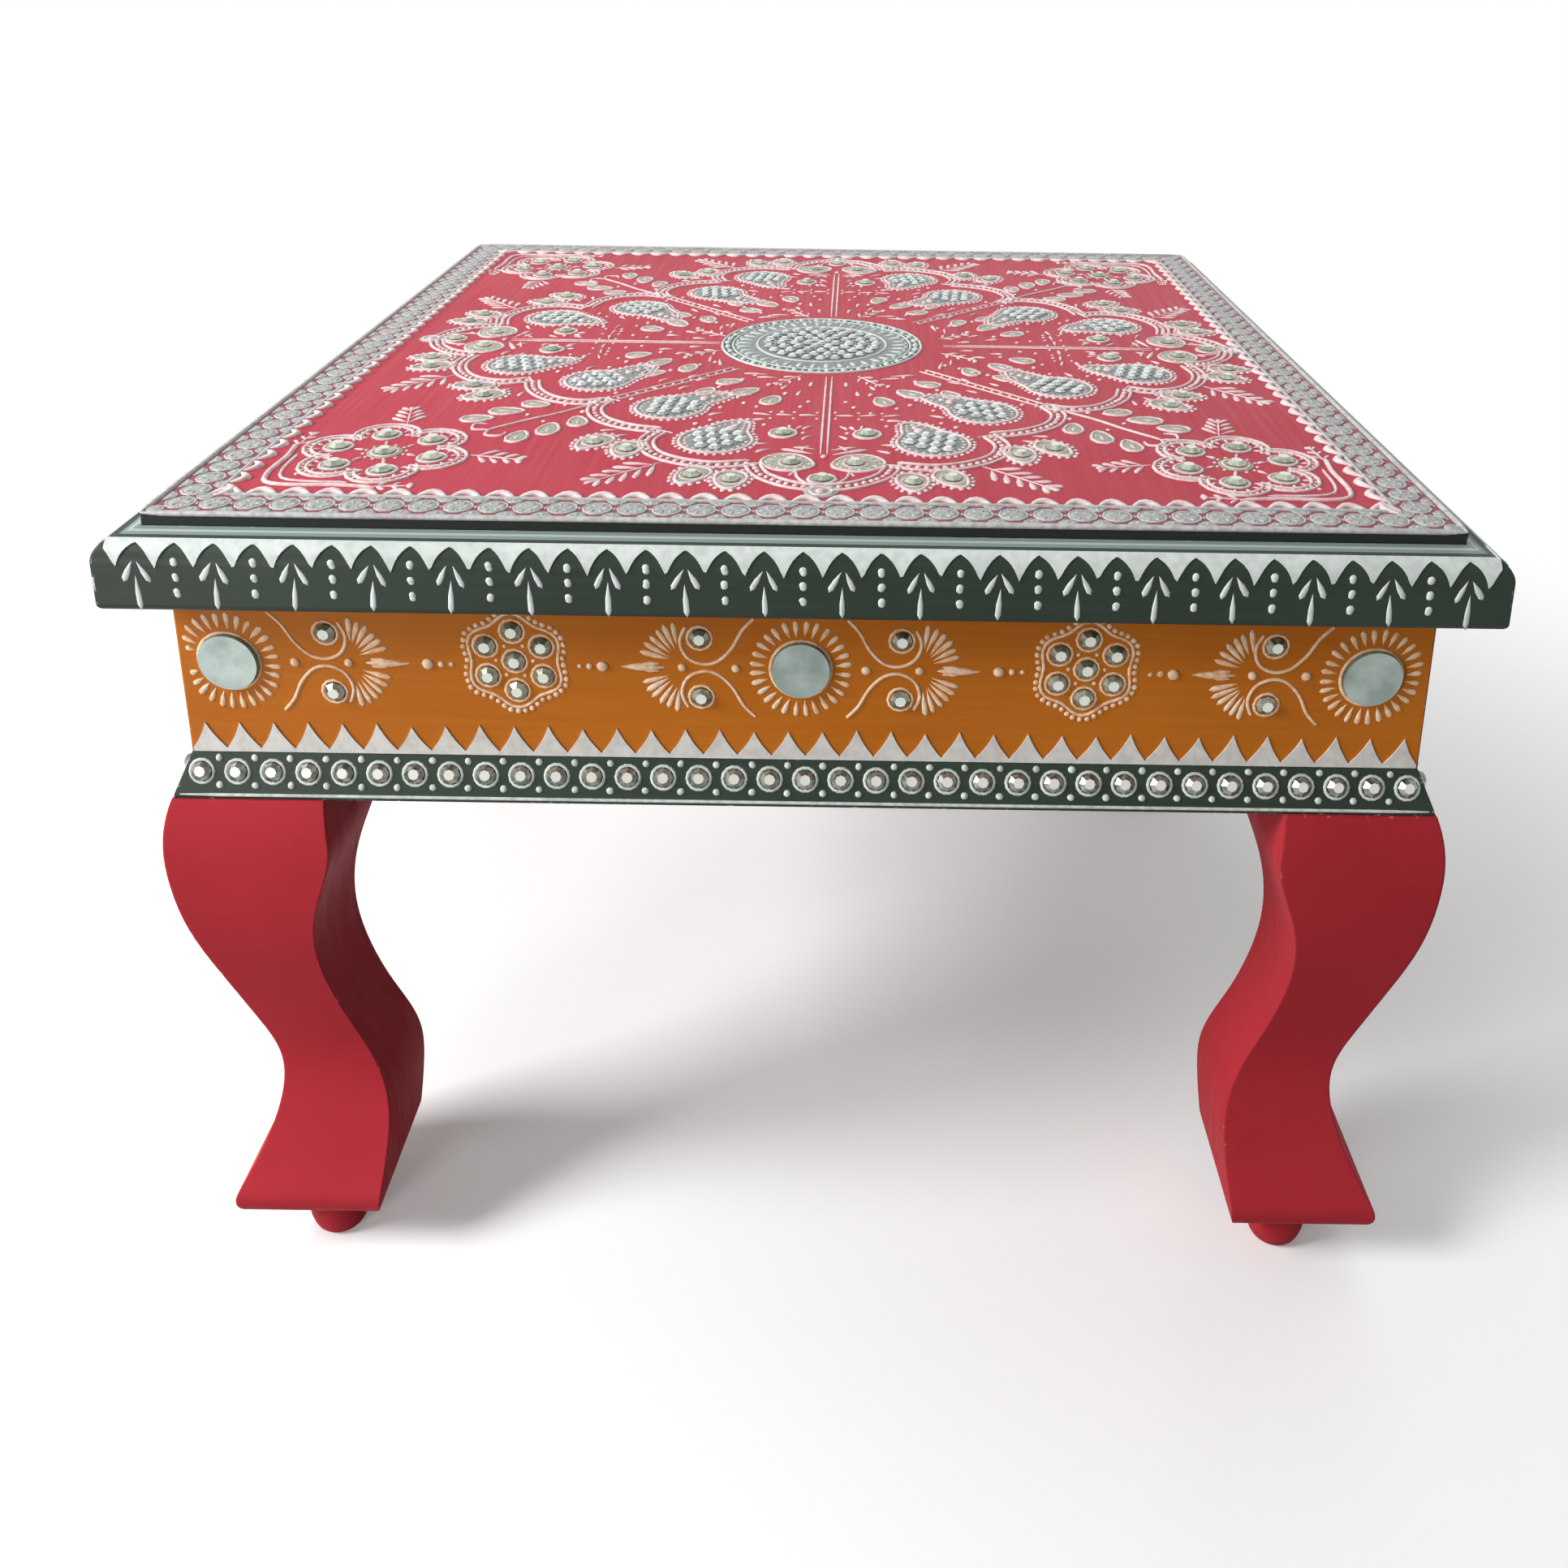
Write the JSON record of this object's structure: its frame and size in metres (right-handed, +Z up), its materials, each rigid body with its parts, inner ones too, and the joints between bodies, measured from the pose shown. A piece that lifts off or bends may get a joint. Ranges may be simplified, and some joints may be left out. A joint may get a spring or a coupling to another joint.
{
  "type": "low table",
  "caption": "Square low wooden table with a painted raised panel top, moulded edge, deep apron set with mirrors and stones, and curved square legs on turned foot knobs.",
  "frame": {"origin": "on the floor under the middle of the table, between the four foot knobs", "axes": "+Z up, -Y towards the front, +X to the right seen from the front"},
  "size_m": [0.3148, 0.3148, 0.2184],
  "materials": {
    "red_painted_wood": "satin brushed enamel over carved mango wood",
    "green_painted_wood": "satin brushed enamel, dark bottle green",
    "orange_painted_wood": "satin brushed enamel, ochre orange",
    "bare_mango_wood": "sawn and unpainted",
    "steel_fixings": "bright zinc-plated screws and pins",
    "silvered_mirror": "cut silvered glass, slightly cloudy",
    "foil_backed_stone": "faceted flat-back stones with silver foil",
    "mirror_chips": "small silvered chips set in paste",
    "cone_paste": "raised white cone-drawn paste, matt"
  },
  "bodies": {
    "root": {"top_panel": "red_painted_wood", "core_board": "bare_mango_wood", "edge_moulding_front": "green_painted_wood", "apron_front": "orange_painted_wood", "base_moulding_front": "green_painted_wood", "glue_block_front": "bare_mango_wood", "mirrors_front": "silvered_mirror", "apron_stones_front": "foil_backed_stone", "band_stones_front": "foil_backed_stone", "edge_moulding_right": "green_painted_wood", "apron_right": "orange_painted_wood", "base_moulding_right": "green_painted_wood", "glue_block_right": "bare_mango_wood", "mirrors_right": "silvered_mirror", "apron_stones_right": "foil_backed_stone", "band_stones_right": "foil_backed_stone", "edge_moulding_back": "green_painted_wood", "apron_back": "orange_painted_wood", "base_moulding_back": "green_painted_wood", "glue_block_back": "bare_mango_wood", "mirrors_back": "silvered_mirror", "apron_stones_back": "foil_backed_stone", "band_stones_back": "foil_backed_stone", "edge_moulding_left": "green_painted_wood", "apron_left": "orange_painted_wood", "base_moulding_left": "green_painted_wood", "glue_block_left": "bare_mango_wood", "mirrors_left": "silvered_mirror", "apron_stones_left": "foil_backed_stone", "band_stones_left": "foil_backed_stone", "leg_front_left": "red_painted_wood", "foot_knob_front_left": "red_painted_wood", "leg_front_right": "red_painted_wood", "foot_knob_front_right": "red_painted_wood", "leg_back_right": "red_painted_wood", "foot_knob_back_right": "red_painted_wood", "leg_back_left": "red_painted_wood", "foot_knob_back_left": "red_painted_wood", "leg_screws": "steel_fixings", "block_screws": "steel_fixings", "edging_pins": "steel_fixings", "moulding_pins": "steel_fixings", "corner_flower_stones": "foil_backed_stone", "leaf_stones": "foil_backed_stone", "bud_stones": "foil_backed_stone", "paisley_chips": "mirror_chips", "medallion_chips": "mirror_chips"}
  },
  "joints": []
}
